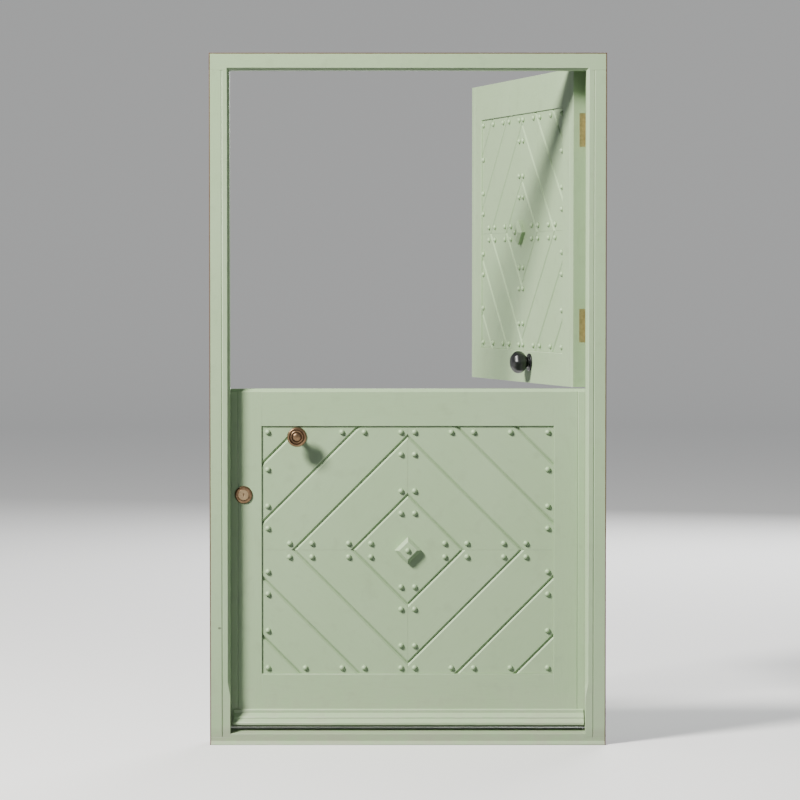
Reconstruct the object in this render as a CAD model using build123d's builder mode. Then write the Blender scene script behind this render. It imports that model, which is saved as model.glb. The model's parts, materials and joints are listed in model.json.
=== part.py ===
from build123d import *
import os
from dataclasses import dataclass
from math import sqrt

# A dutch stable door in its frame. Millimetres, +X right as seen from outside, +Y inwards, +Z up.
# The origin is the middle of the sill's underside, at half the depth of the frame.

# frame
daylight_width = 1080
frame_height = 2100
jamb_face = 62
head_face = 53
front_depth = 46          # from the front face back to the rebate's shoulder
rebate_width = 15
arris = 8                 # chamfer round the daylight edge
arris_stop = 189          # height where the chamfer starts to run out
arris_runout = 42
jamb_quirk_inset = 24     # fine V on the face of each jamb, from the daylight edge
quirk_width = 3
quirk_depth = 2.5
fixing_radius = 5
fixing_count = 4
fixing_bottom = 130
fixing_from_top = 95

# sill
jamb_foot = 23            # height at which the jambs stand in their housings
sill_front = 33
sill_back = 42
sill_lip = 7.5            # how far the drip lip stands out
sill_lip_edge = 3
sill_lip_rise = 12

# rebate seal
seal_stem = 3
seal_stem_depth = 5
seal_head = 9
seal_stand = 2.6
seal_inset = 5            # from the daylight edge to the middle of the seal
seal_clearance = 0.1

# leaves
leaf_thickness = 44
seal_gap = 3              # rebate shoulder to the leaf's outer face
edge_gap = 3              # rebate to the leaf's edges
sill_gap = 6
parting_gap = 4           # between the two leaves
bottom_leaf_top = 1082
stile_width = 107
top_rail = 114
kicking_rail = 163        # bottom rail of the bottom leaf
meeting_rail = 102        # bottom rail of the top leaf
top_bevel = 9             # outer top edge of the bottom leaf
stile_quirk_inset = 34
stile_quirk_depth = 1.5
panel_bead = 1.5          # chamfer round the panel, on the framing
tenon_thickness = 14
tenon_length = 60
tenon_shoulder = 20
top_leaf_open = 75        # degrees

# boarded panel
board_recess = 5
board_thickness = 16
backing_thickness = 18
backing_tongue = 12
backing_play = 0.5
board_play = 0.2          # board edges to the framing and to each other
groove_width = 11.6

# the boards' layout, in steps from one groove to the next
ring_count = 5
middle_board = 0.93       # half diagonal of the middle board
corner_board = 0.645      # width of the corner boards

# studs
stud_size = 16
stud_height = 7.2
stud_shoulder = 4
stud_crown = 12.6         # width at the shoulder
stud_line = 20.7          # rows beside the two centre lines
stud_edge = 18            # rows along the panel's edges
stud_setback = 34         # from a groove, measured along a row
boss_side = 57
boss_height = 22
boss_bevel = 9

# weatherboard
weather_height = 46
weather_projection = 30
weather_foot = 10         # above the leaf's bottom edge
weather_lock_inset = 20
weather_hinge_inset = 15
weather_top = 6
weather_nose = 7
drip_width = 4
drip_depth = 4

# butt hinges
hinge_height = 102
hinge_inset = 188         # leaf end to the middle of the nearest hinge
knuckle_radius = 5.5
knuckle_gap = 0.3
pin_radius = 3
pin_fit = 0.05
axis_behind = 6           # pin axis behind the leaf's inner face
plate_width = 24
plate_thickness = 2.5
plate_play = 0.1

# turned pull knob on the bottom leaf
pull_before_groove = 23   # from the outermost groove, measured along a row of studs
pull_from_top = 30.7      # from the panel's top edge
pull_projection = 58
pull_radius = 30
pull_rim = 13             # thickness of the head at its rim
pull_dish_radius = 22     # sunk in the face
pull_dish_depth = 3
pull_collar_radius = 18   # under the head
pull_collar = 8
pull_neck = 9
pull_foot_radius = 28
pull_foot = 6

# eight-sided knob on the top leaf
knob_along = 106          # from the leaf's middle towards the hinges
knob_above = 66           # above the leaf's bottom edge
knob_radius = 30          # to the flats, as the others here
knob_head_start = 21      # where the head leaves the neck
knob_bevel = 14           # front and back of the head
knob_projection = 62
knob_neck = 11
knob_foot_radius = 28
knob_foot = 5

# through bolts of the two knobs
bolt_radius = 5
bolt_hole = 5.3
bolt_in_knob = 20
bolt_head_radius = 9
bolt_head = 5

# lock cylinder, rim latch and its keep
lock_height = 759
cylinder_inset = 51       # from the leaf's lock edge
cylinder_radius = 16
cylinder_rose_radius = 27
cylinder_rose_thickness = 6
cylinder_stand = 2
key_slot_width = 2
key_slot_height = 10
case_length = 92
case_height = 66
case_depth = 28
case_edge = 2
latch_width = 12
latch_height = 20
latch_length = 60
latch_setback = 0.5
latch_throw = 15
latch_clearance = 0.3
keep_length = 32
keep_height = 50
keep_spare = 10           # depth of the keep's pocket past the latch's throw
keep_clearance = 1
spindle_radius = 5
spindle_depth = 8
spindle_inset = 78        # from the leaf's lock edge
turn_disc = 14
turn_disc_thickness = 4
turn_grip_length = 40
turn_grip_width = 12
turn_grip_height = 16
turn_grip_bevel = 3
running_gap = 0.3
running_fit = 0.05

# stable bolt between the leaves
stable_inset = 52         # from the leaf's lock edge
stable_plate_width = 35
stable_plate_height = 150
stable_plate_thickness = 3
stable_plate_foot = 4
bar_side = 12
bar_stand = 3             # plate face to the bar
bar_length = 134
bar_lift = 2              # the bar's end above the leaf's bottom edge when drawn
stable_throw = 38
guide_width = 24
guide_cover = 5           # metal over the bar
guide_height = 16
guide_inset = 10
bar_knob_radius = 9
bar_knob_thickness = 7
bar_knob_height = 82      # above the bar's end
bar_knob_stem = 4
bar_knob_reach = 14
loop_height = 22
loop_past_bar = 4         # the loop's foot below the end of the bar when shot
loop_plate_drop = 4
loop_plate_height = 44

# planes of the frame and places that follow from them
frame_depth = front_depth + seal_gap + leaf_thickness
front_y = -frame_depth / 2
shoulder_y = front_y + front_depth
leaf_face_y = shoulder_y + seal_gap
back_y = frame_depth / 2
jamb_x = daylight_width / 2
outer_x = jamb_x + jamb_face
rebate_x = jamb_x + rebate_width
head_z = frame_height - head_face
rebate_z = head_z + rebate_width
leaf_edge = rebate_x - edge_gap
panel_width = 2 * (leaf_edge - stile_width)
backing_depth = board_recess + board_thickness
tenon_depth = (leaf_thickness - tenon_thickness) / 2
hinge_x = rebate_x - edge_gap / 2
hinge_y = back_y + axis_behind
hinge_depth = hinge_y - leaf_face_y
cylinder_x = -(leaf_edge - cylinder_inset)
spindle_x = -(leaf_edge - spindle_inset)
latch_depth = leaf_thickness + case_depth / 2
keep_pocket = latch_throw + keep_spare
stable_x = -(leaf_edge - stable_inset)
bar_face = leaf_thickness + stable_plate_thickness + bar_stand
fixing_step = (frame_height - fixing_bottom - fixing_from_top) / (fixing_count - 1)


@dataclass
class Leaf:
    name: str
    plan: Plane  # level, x along the leaf from its middle, y inwards from its outer face
    bottom: float
    top: float
    bottom_rail: float
    bevel: float

    @property
    def height(self):
        return self.top - self.bottom

    @property
    def middle(self):
        return (self.top + self.bottom) / 2

    @property
    def panel_height(self):
        return self.height - self.bottom_rail - top_rail

    @property
    def panel_middle(self):
        return self.bottom + self.bottom_rail + self.panel_height / 2

    @property
    def hinges(self):
        return self.bottom + hinge_inset, self.top - hinge_inset


def turned_plan(opened):
    # the level plane of a leaf swung open about the hinge pins
    pivot = Plane((hinge_x, hinge_y, 0)).rotated((0, 0, -opened))
    return Plane(pivot.from_local_coords((-hinge_x, -hinge_depth, 0)), x_dir=pivot.x_dir, z_dir=pivot.z_dir)


def level(plan, height):
    # sketched as (along, inwards)
    return plan.offset(height)


def elevation(plan, depth):
    # sketched as (along, up), facing outwards
    return Plane(plan.from_local_coords((0, depth, 0)), x_dir=plan.x_dir, z_dir=-plan.y_dir)


def section(plan, along):
    # sketched as (inwards, up), facing the hinge side
    return Plane(plan.from_local_coords((along, 0, 0)), x_dir=plan.y_dir, z_dir=plan.x_dir)


def turning(plan, along, depth, up):
    # sketched as (radius, out of the outer face)
    return Plane(plan.from_local_coords((along, depth, up)), x_dir=plan.x_dir, z_dir=-plan.z_dir)


def save(piece, name):
    piece.part.label = name
    export_step(piece.part, f"parts/{name}.step")


os.makedirs("parts", exist_ok=True)
ground = Plane.XY
bottom_foot = sill_back + sill_gap
top_foot = bottom_leaf_top + parting_gap
bottom_leaf = Leaf("bottom_leaf", turned_plan(0), bottom_foot, bottom_leaf_top, kicking_rail, top_bevel)
top_leaf = Leaf("top_leaf", turned_plan(top_leaf_open), top_foot, rebate_z - edge_gap, meeting_rail, 0)
leaves = (bottom_leaf, top_leaf)


# Frame

with BuildSketch() as jamb_section:
    with BuildLine():
        Polyline(
            (jamb_x, front_y),
            (outer_x, front_y),
            (outer_x, back_y),
            (rebate_x, back_y),
            (rebate_x, shoulder_y),
            (jamb_x, shoulder_y),
            close=True,
        )
    make_face()

with BuildSketch() as jamb_grooves:
    with Locations((jamb_x + jamb_quirk_inset, front_y)):
        Polygon((-quirk_width / 2, 0), (quirk_width / 2, 0), (0, quirk_depth), align=None)
    with Locations((jamb_x + seal_inset, shoulder_y - seal_stem_depth / 2)):
        Rectangle(seal_stem, seal_stem_depth)

# the chamfer runs round the opening, mitred at the head and stopped above the sill
with BuildPart() as arris_cut:
    for margin in (arris, 0):
        with BuildSketch(elevation(ground, front_y + arris - margin)):
            with Locations((0, (arris_stop + head_z + margin) / 2)):
                Rectangle(daylight_width + 2 * margin, head_z + margin - arris_stop)
    loft()
    for side in (-1, 1):
        with BuildSketch(level(ground, arris_stop)) as stop_face:
            with Locations((side * jamb_x, front_y)):
                Polygon((0, 0), (side * arris, 0), (0, arris), align=None)
        loft(sections=[stop_face.sketch, Vertex(side * jamb_x, front_y, arris_stop - arris_runout)])

with BuildPart() as frame_head:
    with BuildSketch(Plane.YZ):
        with BuildLine():
            Polyline(
                (front_y, head_z),
                (shoulder_y, head_z),
                (shoulder_y, rebate_z),
                (back_y, rebate_z),
                (back_y, frame_height),
                (front_y, frame_height),
                close=True,
            )
        make_face()
    extrude(amount=outer_x, both=True)
    with BuildSketch(Plane.YZ):
        with Locations((shoulder_y - seal_stem_depth / 2, head_z + seal_inset)):
            Rectangle(seal_stem_depth, seal_stem)
    extrude(amount=rebate_x, both=True, mode=Mode.SUBTRACT)
head_blank = frame_head.part
with BuildPart() as frame_head:
    add(head_blank)
    add(arris_cut.part, mode=Mode.SUBTRACT)
save(frame_head, "frame_head")


def plate_recesses(plan, face, face_depth, heights, into):
    # into is +1 to cut towards the hinge side, -1 away from it
    with BuildPart() as recesses:
        with BuildSketch(section(plan, face)):
            for height in heights:
                with Locations((face_depth, height)):
                    size = (plate_width + plate_play, hinge_height + 2 * plate_play)
                    Rectangle(*size, align=(Align.MAX, Align.CENTER))
        extrude(amount=into * plate_thickness)
    return recesses.part


def jamb_blank(side):
    # scribed under the head, with its fine V and the kerf for the seal
    with BuildPart() as jamb:
        with BuildSketch(level(ground, jamb_foot)):
            add(jamb_section.sketch if side > 0 else jamb_section.sketch.mirror(Plane.YZ))
        extrude(amount=frame_height - jamb_foot)
        with BuildSketch(Plane.YZ):
            with Locations((0, frame_height)):
                Rectangle(2 * frame_depth, 2 * head_face)
            with Locations((back_y, rebate_z)):
                scribe = (2 * (back_y - shoulder_y), 2 * rebate_width)
                Rectangle(*scribe, align=(Align.CENTER, Align.MAX), mode=Mode.SUBTRACT)
        extrude(amount=outer_x, both=True, mode=Mode.SUBTRACT)
        with BuildSketch(level(ground, jamb_foot)):
            add(jamb_grooves.sketch if side > 0 else jamb_grooves.sketch.mirror(Plane.YZ))
        extrude(amount=frame_height - jamb_foot, mode=Mode.SUBTRACT)
        add(arris_cut.part, mode=Mode.SUBTRACT)
        # fixing holes through the back of the jamb into the wall
        with BuildSketch(section(ground, side * rebate_x)):
            for step in range(fixing_count):
                with Locations(((shoulder_y + back_y) / 2, fixing_bottom + step * fixing_step)):
                    Circle(fixing_radius)
        extrude(amount=side * (outer_x - rebate_x), mode=Mode.SUBTRACT)
    return jamb


lock_jamb = jamb_blank(-1)
save(lock_jamb, "lock_jamb")

hinge_jamb_blank = jamb_blank(1)
jamb_recesses = plate_recesses(ground, rebate_x, back_y, bottom_leaf.hinges + top_leaf.hinges, 1)
with BuildPart() as hinge_jamb:
    add(hinge_jamb_blank.part)
    add(jamb_recesses, mode=Mode.SUBTRACT)
save(hinge_jamb, "hinge_jamb")

with BuildPart() as sill:
    with BuildSketch(Plane.YZ):
        with BuildLine():
            Polyline(
                (back_y, 0),
                (front_y - sill_lip, 0),
                (front_y - sill_lip, sill_lip_edge),
                (front_y, sill_lip_rise),
                (front_y, sill_front),
                (leaf_face_y, sill_back),
                (back_y, sill_back),
                close=True,
            )
        make_face()
    extrude(amount=outer_x, both=True)
    with BuildSketch(level(ground, jamb_foot)):
        add(jamb_section.sketch)
        mirror(about=Plane.YZ)
    extrude(amount=sill_back, mode=Mode.SUBTRACT)
save(sill, "sill")

# rebate seals, a stem in the kerf and a soft head that stops just short of the leaf
for side, name in ((-1, "lock_side_seal"), (1, "hinge_side_seal")):
    with BuildPart() as seal:
        with BuildSketch(level(ground, sill_back + seal_clearance)):
            with Locations((side * (jamb_x + seal_inset), shoulder_y)):
                Rectangle(seal_head, seal_stand, align=(Align.CENTER, Align.MIN))
                Rectangle(
                    seal_stem - 2 * seal_clearance,
                    seal_stem_depth - seal_clearance,
                    align=(Align.CENTER, Align.MAX),
                )
        extrude(amount=head_z - sill_back - 2 * seal_clearance)
    save(seal, name)

with BuildPart() as head_seal:
    with BuildSketch(Plane.YZ):
        with Locations((shoulder_y, head_z + seal_inset)):
            Rectangle(seal_stand, seal_head, align=(Align.MIN, Align.CENTER))
            stem = (seal_stem_depth - seal_clearance, seal_stem - 2 * seal_clearance)
            Rectangle(*stem, align=(Align.MAX, Align.CENTER))
    extrude(amount=rebate_x - seal_clearance, both=True)
save(head_seal, "head_seal")


# Framing of a leaf: tenoned stiles and rails, grooved for the backing


def panel_cut(leaf):
    # the groove for the backing, and the small chamfer round the panel
    with BuildPart() as cut:
        with BuildSketch(elevation(leaf.plan, backing_depth)):
            with Locations((0, leaf.panel_middle)):
                Rectangle(panel_width + 2 * backing_tongue, leaf.panel_height + 2 * backing_tongue)
        extrude(amount=-backing_thickness)
        with BuildSketch(elevation(leaf.plan, 0)):
            with Locations((0, leaf.panel_middle)):
                Rectangle(panel_width + 2 * panel_bead, leaf.panel_height + 2 * panel_bead)
        extrude(amount=-panel_bead, taper=45)
    return cut.part


def tenons(leaf, rail_middle, rail_height):
    with BuildPart() as bar:
        with BuildSketch(elevation(leaf.plan, tenon_depth)):
            with Locations((0, rail_middle)):
                Rectangle(panel_width + 2 * tenon_length, rail_height - 2 * tenon_shoulder)
        extrude(amount=-tenon_thickness)
    return bar.part


def drill(plan, along, up, radius, depth):
    with BuildPart() as hole:
        with BuildSketch(elevation(plan, 0)):
            with Locations((along, up)):
                Circle(radius)
        extrude(amount=-depth)
    return hole.part


def make_stile(leaf, side, cuts):
    with BuildPart() as stile:
        with BuildSketch(elevation(leaf.plan, 0)):
            with Locations((side * (leaf_edge - stile_width / 2), leaf.middle)):
                Rectangle(stile_width, leaf.height)
        extrude(amount=-leaf_thickness)
        if leaf.bevel:
            outer_top = stile.edges().filter_by(Axis.X).group_by(Axis.Z)[-1].sort_by(Axis.Y)[0]
            chamfer(outer_top, length=leaf.bevel)
        with BuildSketch(level(leaf.plan, leaf.bottom)):
            with Locations((side * (leaf_edge - stile_quirk_inset), 0)):
                Polygon((-quirk_width / 2, 0), (quirk_width / 2, 0), (0, stile_quirk_depth), align=None)
        extrude(amount=leaf.height, mode=Mode.SUBTRACT)
        for cut in cuts:
            add(cut, mode=Mode.SUBTRACT)
    return stile


def make_rail(leaf, rail_middle, rail_height, bevel, tenon, cuts):
    with BuildPart() as rail:
        with BuildSketch(elevation(leaf.plan, 0)):
            with Locations((0, rail_middle)):
                Rectangle(panel_width, rail_height)
        extrude(amount=-leaf_thickness)
        if bevel:
            outer_top = rail.edges().filter_by(Axis.X).group_by(Axis.Z)[-1].sort_by(Axis.Y)[0]
            chamfer(outer_top, length=bevel)
        add(tenon)
        for cut in cuts:
            add(cut, mode=Mode.SUBTRACT)
    return rail


def groove_lines(leaf):
    # half diagonals of the diamonds in which the boards meet, the corner boards outside the last
    corner = (panel_width + leaf.panel_height) / 2
    step = corner / (middle_board + ring_count - 2 + corner_board)
    return [step * (middle_board + ring) for ring in range(ring_count - 1)]


pull_up = bottom_leaf.panel_height / 2 - pull_from_top
pull_x = pull_up + pull_before_groove - groove_lines(bottom_leaf)[-1]
pull_z = bottom_leaf.panel_middle + pull_up
knob_z = top_leaf.bottom + knob_above
pull_bore = drill(bottom_leaf.plan, pull_x, pull_z, bolt_hole, leaf_thickness)
knob_bore = drill(top_leaf.plan, knob_along, knob_z, bolt_hole, leaf_thickness)
cylinder_hole = cylinder_radius + running_gap
cylinder_bore = drill(bottom_leaf.plan, cylinder_x, lock_height, cylinder_hole, leaf_thickness)

for leaf in leaves:
    shut = leaf is bottom_leaf
    upper = (leaf.top - top_rail / 2, top_rail)
    lower = (leaf.bottom + leaf.bottom_rail / 2, leaf.bottom_rail)
    panel = panel_cut(leaf)
    upper_tenon = tenons(leaf, *upper)
    lower_tenon = tenons(leaf, *lower)
    recesses = plate_recesses(leaf.plan, leaf_edge, leaf_thickness, leaf.hinges, -1)
    joinery = [panel, upper_tenon, lower_tenon]
    lower_cuts = [panel] if shut else [panel, knob_bore]
    save(make_stile(leaf, -1, joinery + [cylinder_bore] * shut), f"{leaf.name}_lock_stile")
    save(make_stile(leaf, 1, joinery + [recesses]), f"{leaf.name}_hinge_stile")
    save(make_rail(leaf, *upper, leaf.bevel, upper_tenon, [panel]), f"{leaf.name}_top_rail")
    save(make_rail(leaf, *lower, 0, lower_tenon, lower_cuts), f"{leaf.name}_bottom_rail")

    with BuildPart() as backing:
        with BuildSketch(elevation(leaf.plan, backing_depth)):
            with Locations((0, leaf.panel_middle)):
                Rectangle(
                    panel_width + 2 * (backing_tongue - backing_play),
                    leaf.panel_height + 2 * (backing_tongue - backing_play),
                )
        extrude(amount=-backing_thickness)
        if shut:
            add(pull_bore, mode=Mode.SUBTRACT)
    save(backing, f"{leaf.name}_backing")


# Diamond boarding: a square middle board, then rings of four boards mitred on the centre lines and
# trimmed by the framing. Neighbouring boards meet in a V groove.


def make_ring(leaf, inner, outer):
    outer_face = elevation(leaf.plan, board_recess)
    with BuildPart() as ring:
        with BuildSketch(outer_face):
            with Locations((0, leaf.panel_middle)):
                Rectangle(panel_width - 2 * board_play, leaf.panel_height - 2 * board_play)
                if outer:
                    side = (outer - board_play) * sqrt(2)
                    Rectangle(side, side, rotation=45, mode=Mode.INTERSECT)
                if inner:
                    side = (inner + board_play) * sqrt(2)
                    Rectangle(side, side, rotation=45, mode=Mode.SUBTRACT)
                    Rectangle(2 * board_play, leaf.panel_height, mode=Mode.SUBTRACT)
                    Rectangle(panel_width, 2 * board_play, mode=Mode.SUBTRACT)
        extrude(amount=-board_thickness)
        face_edges = ring.edges().group_by(Axis(outer_face.origin, outer_face.z_dir))[-1]
        grooved = face_edges.filter_by(lambda edge: 0.6 < abs(edge.tangent_at(0.5).Z) < 0.8)
        chamfer(grooved, length=groove_width / 2)
        if leaf is bottom_leaf:
            add(pull_bore, mode=Mode.SUBTRACT)
    return ring


for leaf in leaves:
    lines = groove_lines(leaf)
    for number, (inner, outer) in enumerate(zip([None] + lines, lines + [None]), start=1):
        save(make_ring(leaf, inner, outer), f"{leaf.name}_boards_ring_{number}")


# Studs: pairs either side of every groove, in rows beside the centre lines and along the edges


def stud_places(leaf):
    edge_x = panel_width / 2 - stud_edge
    edge_z = leaf.panel_height / 2 - stud_edge
    marks = [line + shift for line in groove_lines(leaf) for shift in (-stud_setback, stud_setback)]
    quarter = [(stud_line, mark - stud_line) for mark in marks if mark - stud_line < edge_z - stud_size]
    quarter += [(mark - stud_line, stud_line) for mark in marks if mark - stud_line < edge_x - stud_size]
    # the corner stud stands in for the last mark of both edge rows
    for mark in marks[:-1]:
        if stud_size < mark - edge_z < edge_x - stud_size:
            quarter.append((mark - edge_z, edge_z))
        if stud_size < mark - edge_x < edge_z - stud_size:
            quarter.append((edge_x, mark - edge_x))
    quarter.append((edge_x, edge_z))
    places = []
    for x, z in quarter:
        places += [(x, z), (-x, z), (x, -z), (-x, -z)]
    return [(x, leaf.panel_middle + z) for x, z in places]


def clear_of_pull(leaf, place):
    reach = pull_foot_radius + stud_size / 2
    return leaf is top_leaf or (place[0] - pull_x) ** 2 + (place[1] - pull_z) ** 2 > reach**2


def make_stud():
    # a six-sided dome on a flat back
    with BuildPart() as stud:
        with BuildSketch(Plane.XY):
            RegularPolygon(stud_size / 2, 6)
        with BuildSketch(Plane.XY.offset(stud_shoulder)) as shoulder:
            RegularPolygon(stud_crown / 2, 6)
        loft(ruled=True)
        loft(sections=[shoulder.sketch, Vertex(0, 0, stud_height)], ruled=True)
    return stud.part


one_stud = make_stud()
for leaf in leaves:
    places = [(x, z, 0) for x, z in stud_places(leaf) if clear_of_pull(leaf, (x, z))]
    places.append((0, leaf.panel_middle, boss_height))
    with BuildPart(elevation(leaf.plan, board_recess)) as studs:
        with Locations(*places):
            add(one_stud)
    save(studs, f"{leaf.name}_studs")

    with BuildPart() as boss:
        boss_face = elevation(leaf.plan, board_recess)
        with BuildSketch(boss_face):
            with Locations((0, leaf.panel_middle)):
                Rectangle(boss_side, boss_side, rotation=45)
        extrude(amount=boss_height)
        chamfer(boss.edges().group_by(Axis(boss_face.origin, boss_face.z_dir))[-1], length=boss_bevel)
    save(boss, f"{leaf.name}_boss")


# Weatherboard across the foot of the bottom leaf

with BuildPart() as weatherboard:
    foot = bottom_leaf.bottom + weather_foot
    head = foot + weather_height
    nose = -weather_projection
    with BuildSketch(section(bottom_leaf.plan, weather_lock_inset - leaf_edge)):
        with BuildLine():
            Polyline(
                (nose, foot + weather_nose),
                (nose, foot),
                (nose / 2 - drip_width, foot),
                (nose / 2 - drip_width, foot + drip_depth),
                (nose / 2, foot + drip_depth),
                (nose / 2, foot),
                (0, foot),
                (0, head),
                (-weather_top, head - weather_top / 2),
                (-weather_top, head - 2 * weather_top),
            )
            cove = Line((-weather_top, head - 2 * weather_top), (nose * 0.62, foot + weather_height * 0.48))
            step = Line(cove @ 1, (nose * 0.62, foot + weather_height * 0.38))
            Line(step @ 1, (nose, foot + weather_nose))
        make_face()
    extrude(amount=2 * leaf_edge - weather_lock_inset - weather_hinge_inset)
save(weatherboard, "weatherboard")


# Butt hinges of three knuckles: the jamb has the outer two and the pin, which is fast in them


def hinge_halves(plan, axis_depth, side, heights, of_jamb):
    # side is the way from the pin to these plates
    plate_x = hinge_x + side * (edge_gap + plate_thickness) / 2
    knuckle = (hinge_height - 2 * knuckle_gap) / 3
    places = (0, 2) if of_jamb else (1,)
    with BuildPart() as halves:
        for middle in heights:
            foot = middle - hinge_height / 2
            with BuildSketch(level(plan, foot)):
                with Locations((plate_x, axis_depth - axis_behind)):
                    Rectangle(plate_thickness, plate_width, align=(Align.CENTER, Align.MAX))
            extrude(amount=hinge_height)
            for place in places:
                with BuildSketch(level(plan, foot + place * (knuckle + knuckle_gap))):
                    with Locations((hinge_x, axis_depth)):
                        Circle(knuckle_radius)
                    with Locations((plate_x, axis_depth)):
                        Rectangle(plate_thickness, axis_behind, align=(Align.CENTER, Align.MAX))
                extrude(amount=knuckle)
            with BuildSketch(level(plan, foot + knuckle / 2)):
                with Locations((hinge_x, axis_depth)):
                    Circle(pin_radius if of_jamb else pin_radius + pin_fit)
            extrude(amount=hinge_height - knuckle, mode=Mode.ADD if of_jamb else Mode.SUBTRACT)
    return halves


save(hinge_halves(ground, hinge_y, 1, bottom_leaf.hinges + top_leaf.hinges, True), "jamb_hinge_plates")
for leaf in leaves:
    save(hinge_halves(leaf.plan, hinge_depth, -1, leaf.hinges, False), f"{leaf.name}_hinge_plates")


# Knobs, each held by a bolt driven from inside


def make_bolt(leaf, along, up, seat, knob_depth):
    with BuildPart() as bolt:
        with BuildSketch(elevation(leaf.plan, seat)):
            with Locations((along, up)):
                RegularPolygon(bolt_head_radius, 6)
        extrude(amount=-bolt_head)
        with BuildSketch(elevation(leaf.plan, seat)):
            with Locations((along, up)):
                Circle(bolt_radius)
        extrude(amount=seat - knob_depth + bolt_in_knob)
    return bolt


with BuildPart() as pull_knob:
    pull_plane = turning(bottom_leaf.plan, pull_x, board_recess, pull_z)
    head_back = pull_projection - pull_rim
    with BuildSketch(pull_plane):
        with BuildLine():
            Polyline(
                (0, bolt_in_knob),
                (bolt_radius + running_fit, bolt_in_knob),
                (bolt_radius + running_fit, 0),
                (pull_foot_radius, 0),
                (pull_foot_radius, pull_foot),
                (pull_neck, pull_foot),
                (pull_neck, head_back - pull_collar),
                (pull_collar_radius, head_back - pull_collar),
                (pull_collar_radius, head_back),
                (pull_radius, head_back),
                (pull_radius, pull_projection),
                (pull_dish_radius, pull_projection),
                (pull_dish_radius, pull_projection - pull_dish_depth),
                (0, pull_projection - pull_dish_depth),
                close=True,
            )
        make_face()
    revolve(axis=Axis(pull_plane.origin, pull_plane.y_dir))
save(pull_knob, "pull_knob")
backing_face = backing_depth + backing_thickness
save(make_bolt(bottom_leaf, pull_x, pull_z, backing_face, board_recess), "pull_knob_bolt")

with BuildPart() as knob_blank:
    with BuildSketch(Plane.XY.offset(knob_head_start)):
        RegularPolygon(knob_radius, 8, major_radius=False)
    extrude(amount=knob_projection - knob_head_start)
    layers = knob_blank.edges().group_by(Axis.Z)
    chamfer(layers[0] + layers[-1], length=knob_bevel)
    for length, radius in ((knob_head_start, knob_neck), (knob_foot, knob_foot_radius)):
        with BuildSketch(Plane.XY):
            RegularPolygon(radius, 8, major_radius=False)
        extrude(amount=length)
    with BuildSketch(Plane.XY):
        Circle(bolt_radius + running_fit)
    extrude(amount=bolt_in_knob, mode=Mode.SUBTRACT)

with BuildPart(elevation(top_leaf.plan, 0)) as top_leaf_knob:
    with Locations((knob_along, knob_z)):
        add(knob_blank.part)
save(top_leaf_knob, "top_leaf_knob")
save(make_bolt(top_leaf, knob_along, knob_z, leaf_thickness, 0), "top_leaf_knob_bolt")


# Lock cylinder, rim latch and keep

with BuildPart() as cylinder_rose:
    with BuildSketch(elevation(bottom_leaf.plan, 0)):
        with Locations((cylinder_x, lock_height)):
            Circle(cylinder_rose_radius)
            Circle(cylinder_radius + running_fit, mode=Mode.SUBTRACT)
    extrude(amount=cylinder_rose_thickness)
save(cylinder_rose, "cylinder_rose")

with BuildPart() as lock_cylinder:
    cylinder_face = elevation(bottom_leaf.plan, -cylinder_rose_thickness - cylinder_stand)
    with BuildSketch(cylinder_face):
        with Locations((cylinder_x, lock_height)):
            Circle(cylinder_radius)
    extrude(amount=-(cylinder_rose_thickness + cylinder_stand + leaf_thickness))
    with BuildSketch(cylinder_face):
        with Locations((cylinder_x, lock_height)):
            Rectangle(key_slot_width, key_slot_height)
    extrude(amount=-key_slot_height, mode=Mode.SUBTRACT)
save(lock_cylinder, "lock_cylinder")

with BuildPart() as latch_case:
    with BuildSketch(elevation(bottom_leaf.plan, leaf_thickness)):
        with Locations((-leaf_edge, lock_height)):
            Rectangle(case_length, case_height, align=(Align.MIN, Align.CENTER))
    extrude(amount=-case_depth)
    chamfer(latch_case.edges().group_by(Axis.Y)[-1], length=case_edge)
    with BuildSketch(section(bottom_leaf.plan, -leaf_edge)):
        with Locations((latch_depth, lock_height)):
            Rectangle(latch_width + 2 * latch_clearance, latch_height + 2 * latch_clearance)
    extrude(amount=latch_setback + latch_length + latch_clearance, mode=Mode.SUBTRACT)
    with BuildSketch(elevation(bottom_leaf.plan, leaf_thickness + case_depth)):
        with Locations((spindle_x, lock_height)):
            Circle(spindle_radius + running_fit)
    extrude(amount=spindle_depth + running_gap, mode=Mode.SUBTRACT)
save(latch_case, "latch_case")

with BuildPart() as latch_bolt:
    with BuildSketch(section(bottom_leaf.plan, latch_setback - leaf_edge)):
        with Locations((latch_depth, lock_height)):
            Rectangle(latch_width, latch_height)
    extrude(amount=latch_length)
    # the leading edge slopes, so that the leaf can be pushed shut
    lead = latch_bolt.edges().filter_by(Axis.Z).group_by(Axis.X)[0].sort_by(Axis.Y)[0]
    chamfer(lead, length=latch_width / 2)
save(latch_bolt, "latch_bolt")

with BuildPart() as latch_keep:
    with BuildSketch(elevation(ground, back_y)):
        with Locations((-rebate_x, lock_height)):
            Rectangle(keep_length, keep_height, align=(Align.MAX, Align.CENTER))
    extrude(amount=-case_depth)
    chamfer(latch_keep.edges().group_by(Axis.Y)[-1], length=case_edge)
    with BuildSketch(section(ground, -rebate_x)):
        with Locations((leaf_face_y + latch_depth, lock_height)):
            Rectangle(latch_width + 2 * keep_clearance, latch_height + 2 * keep_clearance)
    extrude(amount=-keep_pocket, mode=Mode.SUBTRACT)
save(latch_keep, "latch_keep")

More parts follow.
